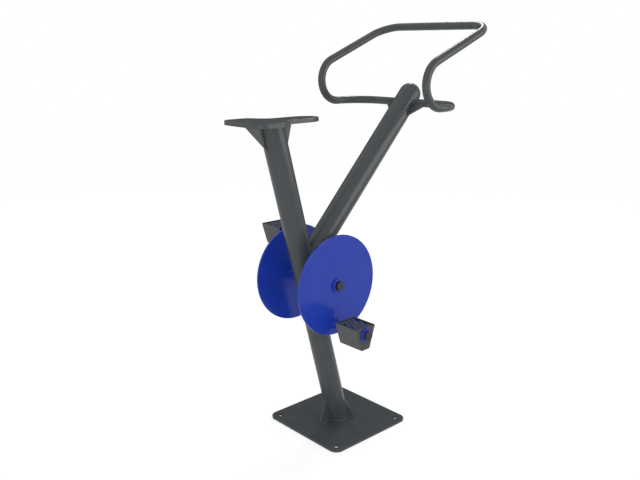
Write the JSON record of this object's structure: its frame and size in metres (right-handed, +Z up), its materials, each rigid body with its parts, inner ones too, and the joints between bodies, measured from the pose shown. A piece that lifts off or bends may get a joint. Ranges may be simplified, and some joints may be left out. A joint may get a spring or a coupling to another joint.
{
  "type": "outdoor exercise bike",
  "caption": "Fixed outdoor exercise bike with a leaning post, flat steel saddle, looped handlebar and crank discs that carry box pedals.",
  "frame": {"origin": "centre of the four anchor holes at the floor plate's underside", "axes": "+X forwards from the saddle to the handlebar, +Y to the rider's left along the crank axle, +Z up"},
  "size_m": [0.8873, 0.5248, 1.3857],
  "materials": {
    "grey_powder_coat": "satin anthracite powder coat on steel",
    "blue_powder_coat": "glossy blue powder coat on steel",
    "pedal_powder_coat": "satin grey powder coat on sheet steel",
    "ground_steel": "turned and ground steel",
    "zinc_plate": "zinc plated steel",
    "bronze": "sintered bronze",
    "seal_rubber": "black nitrile rubber",
    "black_cap_plastic": "black moulded plastic"
  },
  "bodies": {
    "frame": {"base_plate": "grey_powder_coat", "base_ribs": "grey_powder_coat", "seat_post": "grey_powder_coat", "front_tube": "grey_powder_coat", "front_tube_cap": "grey_powder_coat", "handlebar": "grey_powder_coat", "handlebar_gussets": "grey_powder_coat", "seat_pan": "grey_powder_coat", "seat_mount_bar": "grey_powder_coat", "seat_gussets": "grey_powder_coat", "bearing_housing": "grey_powder_coat", "bearing_outer_rings": "ground_steel", "bearing_balls": "ground_steel", "bearing_shields": "zinc_plate", "housing_circlips": "zinc_plate", "dust_seals": "seal_rubber"},
    "crankset": {"crank_axle": "ground_steel", "bearing_inner_rings": "ground_steel", "bearing_spacer": "zinc_plate", "axle_keys": "ground_steel", "crank_hub_right": "blue_powder_coat", "crank_hub_left": "blue_powder_coat", "crank_disc_right": "blue_powder_coat", "crank_disc_left": "blue_powder_coat", "axle_washers": "zinc_plate", "axle_bolts": "zinc_plate", "hub_caps": "black_cap_plastic", "pedal_spindle_right": "ground_steel", "pedal_spindle_left": "ground_steel", "spindle_washers": "zinc_plate", "spindle_nuts": "zinc_plate", "pedal_thrust_washers": "bronze", "pedal_nuts": "zinc_plate"},
    "pedal_right": {"pedal_shell_right": "pedal_powder_coat", "pedal_end_plates_right": "pedal_powder_coat", "pedal_tread_right": "pedal_powder_coat", "pedal_barrel_right": "blue_powder_coat", "pedal_bushes_right": "bronze", "pedal_cap_right": "black_cap_plastic"},
    "pedal_left": {"pedal_shell_left": "pedal_powder_coat", "pedal_end_plates_left": "pedal_powder_coat", "pedal_tread_left": "pedal_powder_coat", "pedal_barrel_left": "blue_powder_coat", "pedal_bushes_left": "bronze", "pedal_cap_left": "black_cap_plastic"}
  },
  "joints": [
    {"name": "crank_spin", "type": "hinge", "parent": "frame", "child": "crankset", "pos_m": [-0.10635, 0, 0.5588], "axis": [0, 1, 0], "continuous": true},
    {"name": "pedal_right_spin", "type": "hinge", "parent": "crankset", "child": "pedal_right", "pos_m": [-0.11748, 0, 0.43169], "axis": [0, 1, 0], "continuous": true},
    {"name": "pedal_left_spin", "type": "hinge", "parent": "crankset", "child": "pedal_left", "pos_m": [-0.09523, 0, 0.68591], "axis": [0, 1, 0], "continuous": true}
  ]
}
